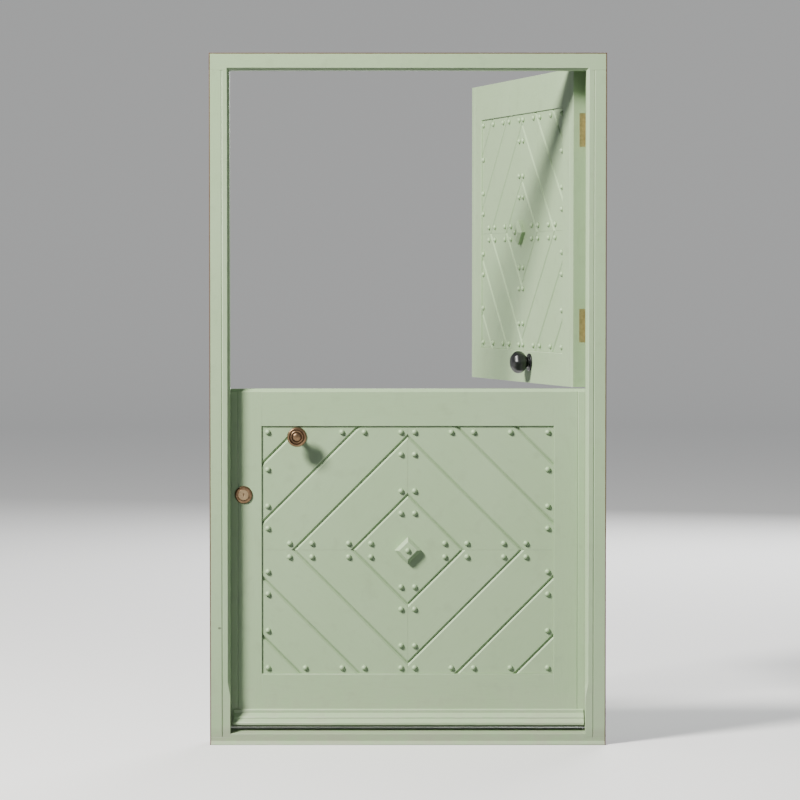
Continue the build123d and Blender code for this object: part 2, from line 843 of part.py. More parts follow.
with BuildPart() as latch_turn:
    case_face = leaf_thickness + case_depth
    with BuildSketch(elevation(bottom_leaf.plan, case_face - spindle_depth)):
        with Locations((spindle_x, lock_height)):
            Circle(spindle_radius)
    extrude(amount=-(spindle_depth + running_gap))
    with BuildSketch(elevation(bottom_leaf.plan, case_face + running_gap)):
        with Locations((spindle_x, lock_height)):
            Circle(turn_disc)
    extrude(amount=-turn_disc_thickness)
    grip_face = case_face + running_gap + turn_disc_thickness
    with BuildSketch(elevation(bottom_leaf.plan, grip_face)):
        with Locations((spindle_x, lock_height)):
            Rectangle(turn_grip_width, turn_grip_length)
    extrude(amount=-turn_grip_height)
    chamfer(latch_turn.edges().group_by(Axis.Y)[-1], length=turn_grip_bevel)
save(latch_turn, "latch_turn")


# Stable bolt: it joins the leaves, so that they swing as one door


def guided_plate(plan, foot, height, guides, guide_length, play):
    guide_stand = bar_stand + bar_side + guide_cover
    with BuildPart() as plate:
        with BuildSketch(elevation(plan, leaf_thickness)):
            with Locations((stable_x, foot)):
                Rectangle(stable_plate_width, height, align=(Align.CENTER, Align.MIN))
        extrude(amount=-stable_plate_thickness)
        for guide in guides:
            with BuildSketch(level(plan, guide)):
                with Locations((stable_x, leaf_thickness + stable_plate_thickness)):
                    Rectangle(guide_width, guide_stand, align=(Align.CENTER, Align.MIN))
                with Locations((stable_x, bar_face + bar_side / 2)):
                    Rectangle(bar_side + 2 * play, bar_side + 2 * play, mode=Mode.SUBTRACT)
            extrude(amount=guide_length)
    return plate


plate_foot = top_leaf.bottom + stable_plate_foot
guides = (plate_foot + guide_inset, plate_foot + stable_plate_height - guide_inset - guide_height)
plate_size = (plate_foot, stable_plate_height)
save(guided_plate(top_leaf.plan, *plate_size, guides, guide_height, running_fit), "stable_bolt_plate")

bar_end = top_leaf.bottom + bar_lift
with BuildPart() as stable_bolt:
    with BuildSketch(level(top_leaf.plan, bar_end)):
        with Locations((stable_x, bar_face)):
            Rectangle(bar_side, bar_side, align=(Align.CENTER, Align.MIN))
    extrude(amount=bar_length)
    # finger knob on the bar's inner face
    for depth, radius, length in (
        (bar_face + bar_side, bar_knob_stem, bar_knob_reach),
        (bar_face + bar_side + bar_knob_reach, bar_knob_radius, bar_knob_thickness),
    ):
        with BuildSketch(elevation(top_leaf.plan, depth)):
            with Locations((stable_x, bar_end + bar_knob_height)):
                Circle(radius)
        extrude(amount=-length)
save(stable_bolt, "stable_bolt")

keep_foot = bottom_leaf.top - loop_plate_drop - loop_plate_height
loop_foot = bar_end - stable_throw - loop_past_bar
loop_size = (keep_foot, loop_plate_height)
save(guided_plate(bottom_leaf.plan, *loop_size, [loop_foot], loop_height, running_gap), "stable_bolt_keep")
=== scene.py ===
import bmesh
import bpy
import json
import math
from mathutils import Matrix, Vector


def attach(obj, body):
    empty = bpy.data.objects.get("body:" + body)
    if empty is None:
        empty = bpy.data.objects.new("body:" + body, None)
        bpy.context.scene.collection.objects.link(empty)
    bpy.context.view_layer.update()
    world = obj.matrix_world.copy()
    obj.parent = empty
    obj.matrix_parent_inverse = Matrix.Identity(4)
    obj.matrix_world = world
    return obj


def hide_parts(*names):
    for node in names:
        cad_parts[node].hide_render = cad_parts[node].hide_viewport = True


# Stable door with its frame, upper leaf swung in. Metres: +X to the hinge side, +Y inwards, +Z up.

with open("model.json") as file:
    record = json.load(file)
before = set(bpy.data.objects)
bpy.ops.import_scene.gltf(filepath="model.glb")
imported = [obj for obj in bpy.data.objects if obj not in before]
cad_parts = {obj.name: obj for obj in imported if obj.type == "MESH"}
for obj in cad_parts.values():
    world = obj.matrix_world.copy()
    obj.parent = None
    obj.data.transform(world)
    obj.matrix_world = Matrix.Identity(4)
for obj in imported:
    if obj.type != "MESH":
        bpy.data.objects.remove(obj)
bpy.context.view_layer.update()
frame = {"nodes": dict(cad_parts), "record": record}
cadNodes = frame["nodes"]
bodyOf = {node: body for body, nodes in frame["record"]["behaviour"]["bodies"].items() for node in nodes}
slotOf = {part["node"]: part["material_slot"] for part in frame["record"]["subparts"]}
print("frame loaded:", len(cadNodes), "nodes")

door = {
    "pivot": Vector((0.5535, 0.0525, 0.0)),   # the hinge pins
    "outerFace": 0.0025,                      # y of a shut leaf's outer face
    "opened": math.radians(75),               # upper leaf at rest
    "panelWide": 0.890,
    "panelHigh": 0.757,
    "lowerMiddle": 0.5895,                    # height of each panel's middle
    "upperMiddle": 1.5665,
    "firstGroove": 0.1674,                    # half diagonal of the middle board
    "grooveStep": 0.180,
    "grooves": 4,                             # between five rings of boards
    "boardFace": 0.005,                       # boards behind the leaf's face
    "outerSide": 0.602,
    "outerTop": 2.100,
}


def onLeaf(upper, along, depth, up):          # a point given on the shut leaf, where it is at rest
    point = Vector((along, door["outerFace"] + depth, up))
    if upper:
        point = door["pivot"] + Matrix.Rotation(-door["opened"], 3, "Z") @ (point - door["pivot"])
    return point


def leafWay(upper, way):                      # a direction, turned with the leaf
    way = Vector(way)
    return Matrix.Rotation(-door["opened"], 3, "Z") @ way if upper else way


def addObject(name, data):
    piece = bpy.data.objects.new(name, data)
    bpy.context.scene.collection.objects.link(piece)
    return piece


# camera, at the photo's viewing angle, with a longer lens

view = {"place": (-0.0239, -10.1465, 1.4168), "lens": 150.0, "sensor": 36.0, "tilt": -2.08, "farthest": 100.0}

camera = addObject("camera", bpy.data.cameras.new("camera"))
camera.location = view["place"]
camera.rotation_euler = (math.radians(90 + view["tilt"]), 0, 0)
camera.data.lens = view["lens"]
camera.data.sensor_width = view["sensor"]
camera.data.clip_end = view["farthest"]
bpy.context.scene.camera = camera


# shader maths: a wire is a socket that can be added, multiplied and so on

def feed(socket, value):
    if isinstance(value, Wire):
        socket.id_data.links.new(value.socket, socket)
    else:
        socket.default_value = value


class Wire:
    def __init__(self, node, output=0):
        self.node = node
        self.socket = node.outputs[output]

    def also(self, output):
        return Wire(self.node, output)

    def maths(self, operation, *values, clamp=False):
        node = self.node.id_data.nodes.new("ShaderNodeMath")
        node.operation = operation
        node.use_clamp = clamp
        for socket, value in zip(node.inputs, values):
            feed(socket, value)
        return Wire(node)

    def __add__(self, other):
        return self.maths("ADD", self, other)

    __radd__ = __add__

    def __mul__(self, other):
        return self.maths("MULTIPLY", self, other)

    __rmul__ = __mul__

    def __sub__(self, other):
        return self.maths("SUBTRACT", self, other)

    def __rsub__(self, other):
        return self.maths("SUBTRACT", other, self)

    def __truediv__(self, other):
        return self.maths("DIVIDE", self, other)

    def __rtruediv__(self, other):
        return self.maths("DIVIDE", other, self)

    def __abs__(self):
        return self.maths("ABSOLUTE", self)

    def held(self):                           # kept between 0 and 1
        return self.maths("ADD", self, 0.0, clamp=True)

    def least(self, other):
        return self.maths("MINIMUM", self, other)

    def most(self, other):
        return self.maths("MAXIMUM", self, other)

    def sign(self):
        return self.maths("SIGN", self)

    def floor(self):
        return self.maths("FLOOR", self)

    def fraction(self):
        return self.maths("FRACT", self)

    def root(self):
        return self.maths("SQRT", self)


class Finish:
    def __init__(self, name, **constants):
        self.material = bpy.data.materials.new(name)
        self.material.use_nodes = True
        self.tree = self.material.node_tree
        self.shader = self.tree.nodes["Principled BSDF"]
        for socket, value in constants.items():
            self.shader.inputs[socket.replace("_", " ")].default_value = value

    def add(self, kind, settings=None, sockets=None, output=0):
        node = self.tree.nodes.new("ShaderNode" + kind)
        for key, value in (settings or {}).items():
            if key == "stops":
                ramp = node.color_ramp.elements
                while len(ramp) < len(value):
                    ramp.new(1.0)
                for stop, (place, shade) in zip(ramp, value):
                    stop.position = place
                    stop.color = (shade, shade, shade, 1)
            else:
                setattr(node, key, value)
        for key, value in (sockets or {}).items():
            feed(node.inputs[key], value)
        return Wire(node, output)

    def noise(self, where, scale, detail=3.0, rough=0.55):
        sockets = {"Vector": where, "Scale": scale, "Detail": detail, "Roughness": rough}
        return self.add("TexNoise", {}, sockets)

    def ramp(self, value, *stops):
        return self.add("ValToRGB", {"stops": stops}, {"Fac": value})

    def mix(self, share, first, second):
        return self.add("Mix", {"data_type": "RGBA"}, {0: share, 6: first, 7: second}, output=2)

    def wear(self, colour, roughness, height, depth, strength):
        bump = self.add("Bump", {}, {"Height": height, "Distance": depth, "Strength": strength})
        feed(self.shader.inputs["Base Color"], colour)
        feed(self.shader.inputs["Roughness"], roughness)
        feed(self.shader.inputs["Normal"], bump)
        return self.material


def opaque(red, green, blue):
    return (red, green, blue, 1)


# sage green paint, brushed along the grain of each piece, with painted shade in its grooves, along its panel
# edges and under the weatherboard, and a painted highlight on its arrises

paint = {
    "colour": opaque(0.338, 0.465, 0.265),
    "thin": opaque(0.275, 0.398, 0.215),      # where the brush dragged
    "chalk": opaque(0.400, 0.510, 0.330),     # weathered lighter
    "rubbedAndLit": opaque(0.520, 0.600, 0.440),    # on the arrises: rubbed paint and a painted highlight
    # dirt, and painted shade in the grooves, along the panel's edges and under the weatherboard
    "grimeAndShade": opaque(0.070, 0.078, 0.052),
    "dust": opaque(0.400, 0.375, 0.300),
    "primer": opaque(0.110, 0.062, 0.038),    # on the sides that meet the opening
    "primerEdge": 0.0036,                     # how far it shows on the face
    "across": 300.0,                          # brush marks to a metre
    "along": 16.0,
    "cloud": 2.6,                             # patterns to a metre, from slow to fine
    "mottle": 21.0,
    "stipple": 1300.0,
    "quarters": (3.1, 7.7),                   # so that the quarters of the diamonds don't match
    "bump": {"brush": 0.75, "stipple": 0.18, "mottle": 0.50},
    "depth": 0.00022,
    "strength": 0.9,
    "specular": 0.42,
    "roughness": {"least": 0.30, "brush": 0.12, "cloud": 0.10},
    "shares": {"thin": 0.34, "chalk": 0.30, "board": 0.08, "spots": 0.13, "drip": 0.55, "feet": 0.20,
               "splash": 0.40, "groove": 0.30, "panelEdgeShade": 0.45, "rubbedAndLit": 0.55, "scuff": 0.80},
    "sharpness": {"drip": 400.0, "feet": 60.0, "primer": 12.0, "scuff": 2.5},   # how suddenly each ends
    "grimeAndShadeWide": 0.0016,                      # painted shade and grime on each side of a groove and inside the panel's edge
    "dripLine": 0.060,                        # painted shade of the weatherboard and dirt under it reach up to here
    "feetLine": 0.055,                        # film on the sill and the feet of the jambs
    "dustLine": 0.30,                         # splashed dust
    "primerWaver": 0.0012,
    "scuff": (-0.572, 0.356),                 # dark mark on the lock jamb
    "scuffSize": 0.0065, "scuffSquash": 2.2, "scuffWaver": 0.006,
}


def paintFinish(name, grain, upper=False, dustyAndShaded=True, framed=False):
    finish = Finish(name, Specular_IOR_Level=paint["specular"])
    share, sharp, bump, rough = paint["shares"], paint["sharpness"], paint["bump"], paint["roughness"]
    place = finish.add("TexCoord", output="Object")
    if upper:                                 # read the pattern as if the leaf were shut
        shift = door["pivot"] - Matrix.Rotation(door["opened"], 3, "Z") @ door["pivot"]
        place = finish.add("Mapping", {}, {"Vector": place, "Location": shift,
                                           "Rotation": (0, 0, door["opened"])})
    x = finish.add("SeparateXYZ", {}, {"Vector": place})
    y, z = x.also(1), x.also(2)
    wide, long = paint["across"], paint["along"]
    cloud = finish.noise(place, paint["cloud"], 4.0, 0.6)
    if grain == "boards":                     # brushed along each board of the diamonds
        rise = z - door["upperMiddle" if upper else "lowerMiddle"]
        across = abs(x) + abs(rise)
        quarter = x.sign() * paint["quarters"][0] + rise.sign() * paint["quarters"][1]
        strokes = {"X": across * wide + quarter, "Y": (abs(x) - abs(rise)) * long + quarter, "Z": y * wide}
        grooved = (across - door["firstGroove"]) / door["grooveStep"]
        board = finish.add("TexWhiteNoise", {"noise_dimensions": "1D"}, {"W": grooved.floor() + quarter})
        fromGroove = abs((grooved + 0.5).fraction() - 0.5) * door["grooveStep"]
        fromEdge = (door["panelWide"] / 2 - abs(x)).least(door["panelHigh"] / 2 - abs(rise))
        # darker at the bottom of each groove and just inside the panel's edge: painted shade, with some grime
        # in the grooves
        grimeAndShade = ((1 - fromGroove / paint["grimeAndShadeWide"]).held() * share["groove"]).most(
            (1 - fromEdge / paint["grimeAndShadeWide"]).held() * share["panelEdgeShade"])
    elif grain == "level":
        strokes = {"X": x * long, "Y": y * wide, "Z": z * wide}
    else:
        strokes = {"X": x * wide, "Y": y * wide, "Z": z * long}
    brush = finish.noise(finish.add("CombineXYZ", {}, strokes), 1.0, 4.0, 0.6)
    mottle = finish.noise(place, paint["mottle"], 3.0, 0.5)
    stipple = finish.noise(place, paint["stipple"], 1.0, 0.5)

    dragged = finish.ramp(brush, (0.50, 0.0), (0.74, 1.0))
    faded = finish.ramp(cloud, (0.42, 0.0), (0.66, 1.0))
    colour = finish.mix(dragged * share["thin"], paint["colour"], paint["thin"])
    colour = finish.mix(faded * share["chalk"], colour, paint["chalk"])
    if grain == "boards":
        colour = finish.mix(board * share["board"], colour, paint["thin"])
    spots = finish.ramp(mottle, (0.55, 0.0), (0.80, 1.0))
    colour = finish.mix(spots * share["spots"], colour, paint["grimeAndShade"])
    if dustyAndShaded and not framed:                  # painted shade and splashed dirt under the weatherboard
        drip = ((paint["dripLine"] - z) * sharp["drip"]).held()
        colour = finish.mix(drip * share["drip"], colour, paint["grimeAndShade"])
    if framed:                                # worn film on the sill and the feet of the jambs
        feet = ((paint["feetLine"] - z) * sharp["feet"]).held()
        feet = feet * finish.ramp(mottle, (0.30, 0.5), (0.60, 1.0))
        colour = finish.mix(feet * share["feet"], colour, paint["grimeAndShade"])
    if dustyAndShaded:
        low = ((paint["dustLine"] - z) / paint["dustLine"]).held()
        splash = low * low * finish.ramp(mottle, (0.36, 0.0), (0.62, 1.0))
        colour = finish.mix(splash * share["splash"], colour, paint["dust"])
    # painted shade and grime in the grooves and along the panel's edges
    if grain == "boards":
        colour = finish.mix(grimeAndShade, colour, paint["grimeAndShade"])
    arris = finish.add("Attribute", {"attribute_name": "arris"}, output=2)
    # paler arrises: partly rubbed paint, partly a painted highlight
    bareAndLit = arris * finish.ramp(mottle, (0.40, 0.15), (0.62, 1.0))
    colour = finish.mix(bareAndLit * share["rubbedAndLit"], colour, paint["rubbedAndLit"])
    if framed:
        fromSide = (door["outerSide"] - abs(x)).least(door["outerTop"] - z)
        primed = (1 - (fromSide + (brush - 0.5) * paint["primerWaver"]) / paint["primerEdge"]).held()
        colour = finish.mix((primed * sharp["primer"]).held(), colour, paint["primer"])
        over, up = x - paint["scuff"][0], z - paint["scuff"][1]
        reach = (over * over + up * up * paint["scuffSquash"]).root()
        spot = (1 - (reach + (mottle - 0.5) * paint["scuffWaver"]) / paint["scuffSize"]).held()
        colour = finish.mix((spot * sharp["scuff"]).held() * share["scuff"], colour, paint["grimeAndShade"])
    roughness = brush * rough["brush"] + cloud * rough["cloud"] + rough["least"]
    height = brush * bump["brush"] + stipple * bump["stipple"] + mottle * bump["mottle"]
    return finish.wear(colour, roughness, height, paint["depth"], paint["strength"])


# metals and rubber

metals = {
    "hingeBrass": {"bright": opaque(0.53, 0.455, 0.24), "dull": opaque(0.27, 0.225, 0.115), "metallic": 0.9,
                   "roughness": 0.38, "grain": 240.0, "dulled": 0.55},
    "agedBronze": {"bright": opaque(0.205, 0.128, 0.070), "dull": opaque(0.062, 0.039, 0.024), "metallic": 0.9,
                   "roughness": 0.32, "grain": 170.0, "dulled": 0.65},
    "rubbedBronze": {"bright": opaque(0.40, 0.29, 0.17), "dull": opaque(0.16, 0.108, 0.062), "metallic": 0.95,
                     "roughness": 0.30, "grain": 260.0, "dulled": 0.45},
    "blackIron": {"bright": opaque(0.014, 0.015, 0.016), "dull": opaque(0.006, 0.006, 0.006), "metallic": 0.3,
                  "roughness": 0.30, "grain": 420.0, "dulled": 0.5},
    "blackLacquer": {"bright": opaque(0.034, 0.035, 0.038), "dull": opaque(0.016, 0.016, 0.018),
                     "metallic": 0.0, "roughness": 0.38, "grain": 520.0, "dulled": 0.4},
    "plainSteel": {"bright": opaque(0.56, 0.56, 0.55), "dull": opaque(0.30, 0.29, 0.27), "metallic": 1.0,
                   "roughness": 0.34, "grain": 300.0, "dulled": 0.5},
}
metalWear = {
    "patina": 0.35, "fine": 4.0,              # times the metal's grain
    "kept": 0.7,                              # of the shine, on the arrises
    "tarnish": 0.2,                           # of the dull colour, in turned grooves
    "roughness": {"patina": 0.26, "fine": 0.06, "below": 0.12},
    "bump": {"patina": 0.7, "fine": 0.3},
    "depth": 0.00012, "strength": 0.7,
}


def metalFinish(name):
    metal, rough, bump = metals[name], metalWear["roughness"], metalWear["bump"]
    finish = Finish(name, Metallic=metal["metallic"])
    place = finish.add("TexCoord", output="Object")
    patina = finish.noise(place, metal["grain"] * metalWear["patina"], 5.0, 0.65)
    fine = finish.noise(place, metal["grain"] * metalWear["fine"], 2.0, 0.5)
    arris = finish.add("Attribute", {"attribute_name": "arris"}, output=2)
    dulled = finish.ramp(patina, (0.38, 0.0), (0.66, 1.0)) * metal["dulled"] * (1 - arris * metalWear["kept"])
    colour = finish.mix(dulled, metal["bright"], metal["dull"])
    groove = finish.add("Attribute", {"attribute_name": "tarnish"}, output=2)
    tarnished = opaque(*(shade * metalWear["tarnish"] for shade in metal["dull"][:3]))
    colour = finish.mix(groove * (patina * 0.5 + 0.5), colour, tarnished)
    roughness = patina * rough["patina"] + fine * rough["fine"] + (metal["roughness"] - rough["below"])
    height = patina * bump["patina"] + fine * bump["fine"]
    return finish.wear(colour, roughness, height, metalWear["depth"], metalWear["strength"])


rubber = {"black": opaque(0.020, 0.021, 0.020), "chalk": opaque(0.060, 0.062, 0.056), "grain": 60.0,
          "roughness": 0.66, "depth": 0.0001, "strength": 0.5}


def rubberFinish():
    finish = Finish("sealRubber", Specular_IOR_Level=0.3)
    chalky = finish.noise(finish.add("TexCoord", output="Object"), rubber["grain"], 4.0, 0.6)
    colour = finish.mix(finish.ramp(chalky, (0.4, 0.0), (0.7, 1.0)) * 0.5, rubber["black"], rubber["chalk"])
    return finish.wear(colour, chalky * 0.2 + rubber["roughness"], chalky, rubber["depth"], rubber["strength"])


finishes = {name: metalFinish(name) for name in metals}
finishes["sealRubber"] = rubberFinish()
for upper, leaf in ((False, "lower"), (True, "upper")):
    for grain in ("upright", "level", "boards"):
        finishes[leaf + grain.title()] = paintFinish(leaf + grain.title(), grain, upper, dustyAndShaded=not upper)
finishes["frameUpright"] = paintFinish("frameUpright", "upright", framed=True)
finishes["frameLevel"] = paintFinish("frameLevel", "level", framed=True)
print("finishes:", len(finishes))


# painted timber and furniture: each piece from its node, with its edges eased

easing = {"frame": 0.0010, "framing": 0.00045, "boards": 0.0003, "small": 0.0011,    # widths
          "flat": 0.6, "sharp": 25.0,         # degrees between two faces
          "shortest": 0.0045,                 # a timber edge below this is the rim of a bolt hole
          "sameWay": 0.9997,                  # cosine between two faces that lie alike
          "topBand": 0.0001}                  # a piece's topmost points lie within this

furniture = {
    "latch_case": (0.0010, "blackLacquer"), "latch_keep": (0.0008, "blackLacquer"),
    "latch_turn": (0.0008, "blackLacquer"), "stable_bolt_plate": (0.0006, "blackLacquer"),
    "stable_bolt_keep": (0.0006, "blackLacquer"), "latch_bolt": (0.0007, "plainSteel"),
    "lock_cylinder": (0.0006, "rubbedBronze"), "jamb_hinge_plates": (0.0003, "hingeBrass"),
    "bottom_leaf_hinge_plates": (0.0003, "hingeBrass"), "top_leaf_hinge_plates": (0.0003, "hingeBrass"),
}
stableBolt = {"easing": 0.0007, "taller": 0.038}   # so that it stays in its upper guide when thrown


def settle(piece):                            # modifiers become plain mesh
    bpy.context.view_layer.update()
    graph = bpy.context.evaluated_depsgraph_get()
    mesh = bpy.data.meshes.new_from_object(piece.evaluated_get(graph), depsgraph=graph)
    piece.modifiers.clear()
    piece.data = mesh
    return piece


def hang(piece, body, nodes=()):
    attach(piece, body)
    if nodes:
        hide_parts(*nodes)


def markArrises(mesh, flats, rounded):        # faces that lie like none of the sawn ones are arrises
    ways = {}
    for flat in flats:
        ways.setdefault(tuple(round(part, 3) for part in flat), flat)
    flats = list(ways.values())
    arris = mesh.attributes.new("arris", "FLOAT", "CORNER")
    for face in mesh.polygons:
        eased = max(face.normal.dot(flat) for flat in flats) < easing["sameWay"]
        face.use_smooth = eased or rounded
        for corner in face.loop_indices:
            arris.data[corner].value = float(eased)


def solidsOf(mesh):                           # the loose triangles of a node, one closed solid at a time
    places = [vertex.co.to_tuple() for vertex in mesh.vertices]
    solids, current, unmatched = [], [], set()
    for face in mesh.polygons:
        corners = [places[index] for index in face.vertices]
        current.append(corners)
        for start, end in zip(corners, corners[1:] + corners[:1]):
            unmatched ^= {(end, start)} if (end, start) in unmatched else {(start, end)}
        if not unmatched:
            solids.append(current)
            current = []
    return solids + [current] if current else solids


def easeEdges(node, width, material, segments=2, rounded=False, taller=0.0):
    copy = bmesh.new()
    for solid in solidsOf(cadNodes[node].data):
        corners = {place: copy.verts.new(place) for place in dict.fromkeys(sum(solid, []))}
        for triangle in solid:
            if len(set(triangle)) == 3:
                copy.faces.new([corners[place] for place in triangle])
    top = max(vertex.co.z for vertex in copy.verts)
    for vertex in copy.verts:
        if vertex.co.z > top - easing["topBand"]:
            vertex.co.z += taller
    copy.normal_update()
    flat, sharp = math.radians(easing["flat"]), math.radians(easing["sharp"])
    bmesh.ops.dissolve_limit(copy, angle_limit=flat, verts=copy.verts, edges=copy.edges)
    flats = [face.normal.copy() for face in copy.faces]
    weight = copy.edges.layers.float.new("bevel_weight_edge")
    for edge in copy.edges:
        if len(edge.link_faces) == 2 and edge.is_convex and edge.calc_face_angle() > sharp:
            edge[weight] = float(rounded or edge.calc_length() > easing["shortest"])
    mesh = bpy.data.meshes.new(node + "_eased")
    copy.to_mesh(mesh)
    copy.free()
    mesh.shade_smooth()
    mesh.materials.append(finishes[material])
    piece = addObject(node + "_eased", mesh)
    bevel = piece.modifiers.new("ease", "BEVEL")
    bevel.width = width
    bevel.segments = segments
    bevel.limit_method = "WEIGHT"
    bevel.harden_normals = rounded
    settle(piece)
    markArrises(piece.data, flats, rounded)
    hang(piece, bodyOf[node], [node])


for node in ("lock_jamb", "hinge_jamb"):
    easeEdges(node, easing["frame"], "frameUpright")
for node in ("frame_head", "sill"):
    easeEdges(node, easing["frame"], "frameLevel")
for upper, leaf in ((False, "lower"), (True, "upper")):
    stem = "top_leaf_" if upper else "bottom_leaf_"
    for part in ("lock_stile", "hinge_stile"):
        easeEdges(stem + part, easing["framing"], leaf + "Upright")
    for part in ("top_rail", "bottom_rail"):
        easeEdges(stem + part, easing["framing"], leaf + "Level")
    for ring in range(1, door["grooves"] + 2):
        easeEdges(f"{stem}boards_ring_{ring}", easing["boards"], leaf + "Boards")
    easeEdges(stem + "backing", easing["framing"], leaf + "Upright")
    easeEdges(stem + "boss", easing["small"], leaf + "Upright", 3)
easeEdges("weatherboard", easing["small"], "lowerLevel", 3)
for node, (width, material) in furniture.items():
    easeEdges(node, width, material, rounded=True)
easeEdges("stable_bolt", stableBolt["easing"], "plainSteel", rounded=True, taller=stableBolt["taller"])
print("timber and furniture eased")


# geometry node trees

def newTree(name, inputs):
    tree = bpy.data.node_groups.new(name, "GeometryNodeTree")
    tree.interface.new_socket("Geometry", in_out="INPUT", socket_type="NodeSocketGeometry")
    for label, kind in inputs:
        tree.interface.new_socket(label, in_out="INPUT", socket_type="NodeSocket" + kind)
    tree.interface.new_socket("Geometry", in_out="OUTPUT", socket_type="NodeSocketGeometry")
    return tree, tree.nodes.new("NodeGroupInput")


def step(tree, kind, settings=None, sockets=None):
    node = tree.nodes.new(kind)
    for key, value in (settings or {}).items():
        setattr(node, key, value)
    for key, value in (sockets or {}).items():
        if isinstance(value, bpy.types.NodeSocket):
            tree.links.new(value, node.inputs[key])
        else:
            node.inputs[key].default_value = value
    return node


def finishTree(tree, geometry, material):
    plain = step(tree, "GeometryNodeRealizeInstances", {}, {"Geometry": geometry})
    coloured = step(tree, "GeometryNodeSetMaterial", {},
                    {"Geometry": plain.outputs[0], "Material": material})
    step(tree, "NodeGroupOutput", {}, {"Geometry": coloured.outputs[0]})


def grow(name, tree, seats, values):          # seats are (point, the way it faces)
    mesh = bpy.data.meshes.new(name)
    mesh.from_pydata([point for point, way in seats], [], [])
    facing = mesh.attributes.new("facing", "FLOAT_VECTOR", "POINT")
    for entry, (point, way) in zip(facing.data, seats):
        entry.vector = way
    piece = addObject(name, mesh)
    modifier = piece.modifiers.new("grow", "NODES")
    modifier.node_group = tree
    for item in tree.interface.items_tree:
        if item.item_type == "SOCKET" and item.in_out == "INPUT" and item.name in values:
            modifier[item.identifier] = values[item.name]
    return settle(piece)


def instanceOn(tree, start, shape, spin):
    facing = step(tree, "GeometryNodeInputNamedAttribute", {"data_type": "FLOAT_VECTOR"}, {"Name": "facing"})
    turned = step(tree, "FunctionNodeAlignRotationToVector", {"axis": "Z"}, {"Vector": facing.outputs[0]})
    swirl = step(tree, "FunctionNodeRandomValue", {"data_type": "FLOAT"}, {"Seed": start.outputs["Seed"]})
    swirl.inputs[2].default_value = 0.0
    swirl.inputs[3].default_value = spin
    twist = step(tree, "FunctionNodeAxisAngleToRotation", {},
                 {"Axis": (0, 0, 1), "Angle": swirl.outputs[1]})
    both = step(tree, "FunctionNodeRotateRotation", {"rotation_space": "LOCAL"},
                {"Rotation": turned.outputs[0], "Rotate By": twist.outputs[0]})
    return step(tree, "GeometryNodeInstanceOnPoints", {},
                {"Points": start.outputs["Geometry"], "Instance": shape, "Rotation": both.outputs[0]})


# domed studs

studs = {"radius": 0.0087, "height": 0.0088, "sides": 14, "rings": 8, "seed": 11,
         "besideMiddle": 0.0207,              # from the panel's middle lines
         "fromEdge": 0.018, "setback": 0.034,   # from the panel's edge, and from a groove along the middle line
         "bossHeight": 0.022, "spin": 6.28,
         "pullPlace": (-0.3366, 0.3478), "pullReach": 0.036}   # no stud under the lower leaf's pull


def studTree(material):
    tree, start = newTree("studTree", [("Radius", "Float"), ("Height", "Float"), ("Sides", "Int"),
                                       ("Rings", "Int"), ("Seed", "Int")])
    ball = step(tree, "GeometryNodeMeshUVSphere", {}, {"Segments": start.outputs["Sides"],
                                                       "Rings": start.outputs["Rings"],
                                                       "Radius": start.outputs["Radius"]})
    spot = step(tree, "ShaderNodeSeparateXYZ", {}, {0: step(tree, "GeometryNodeInputPosition").outputs[0]})
    above = step(tree, "ShaderNodeMath", {"operation": "MAXIMUM"}, {0: spot.outputs[2], 1: 0.0})
    squat = step(tree, "ShaderNodeMath", {"operation": "DIVIDE"},
                 {0: start.outputs["Height"], 1: start.outputs["Radius"]})
    rise = step(tree, "ShaderNodeMath", {"operation": "MULTIPLY"},
                {0: above.outputs[0], 1: squat.outputs[0]})
    moved = step(tree, "ShaderNodeCombineXYZ", {},
                 {0: spot.outputs[0], 1: spot.outputs[1], 2: rise.outputs[0]})
    dome = step(tree, "GeometryNodeSetPosition", {},
                {"Geometry": ball.outputs[0], "Position": moved.outputs[0]})
    flat = step(tree, "GeometryNodeSetShadeSmooth", {},
                {"Geometry": dome.outputs[0], "Shade Smooth": False})
    normal = step(tree, "ShaderNodeSeparateXYZ", {}, {0: step(tree, "GeometryNodeInputNormal").outputs[0]})
    outward = step(tree, "ShaderNodeMath", {"operation": "GREATER_THAN"}, {0: normal.outputs[2], 1: -0.5})
    smooth = step(tree, "GeometryNodeSetShadeSmooth", {},
                  {"Geometry": flat.outputs[0], "Selection": outward.outputs[0], "Shade Smooth": True})
    placed = instanceOn(tree, start, smooth.outputs[0], studs["spin"])
    finishTree(tree, placed.outputs[0], material)
    return tree


def studSeats(upper):
    sideways = door["panelWide"] / 2 - studs["fromEdge"]
    upwards = door["panelHigh"] / 2 - studs["fromEdge"]
    beside, width = studs["besideMiddle"], 2 * studs["radius"]
    grooves = [door["firstGroove"] + door["grooveStep"] * number for number in range(door["grooves"])]
    marks = [groove + shift for groove in grooves for shift in (-studs["setback"], studs["setback"])]
    quarter = [(beside, mark - beside) for mark in marks if mark - beside < upwards - width]
    quarter += [(mark - beside, beside) for mark in marks if mark - beside < sideways - width]
    for mark in marks[:-1]:
        if width < mark - upwards < sideways - width:
            quarter.append((mark - upwards, upwards))
        if width < mark - sideways < upwards - width:
            quarter.append((sideways, mark - sideways))
    quarter.append((sideways, upwards))
    out = leafWay(upper, (0, -1, 0))
    middle = door["upperMiddle" if upper else "lowerMiddle"]
    seats = [(onLeaf(upper, 0, door["boardFace"] - studs["bossHeight"], middle), out)]
    for x, z in quarter:
        for spot in {(x, z), (-x, z), (x, -z), (-x, -z)}:
            pull = Vector(spot) - Vector(studs["pullPlace"])
            if upper or pull.length > studs["pullReach"]:
                seats.append((onLeaf(upper, spot[0], door["boardFace"], middle + spot[1]), out))
    return sorted(seats, key=lambda seat: tuple(seat[0]))


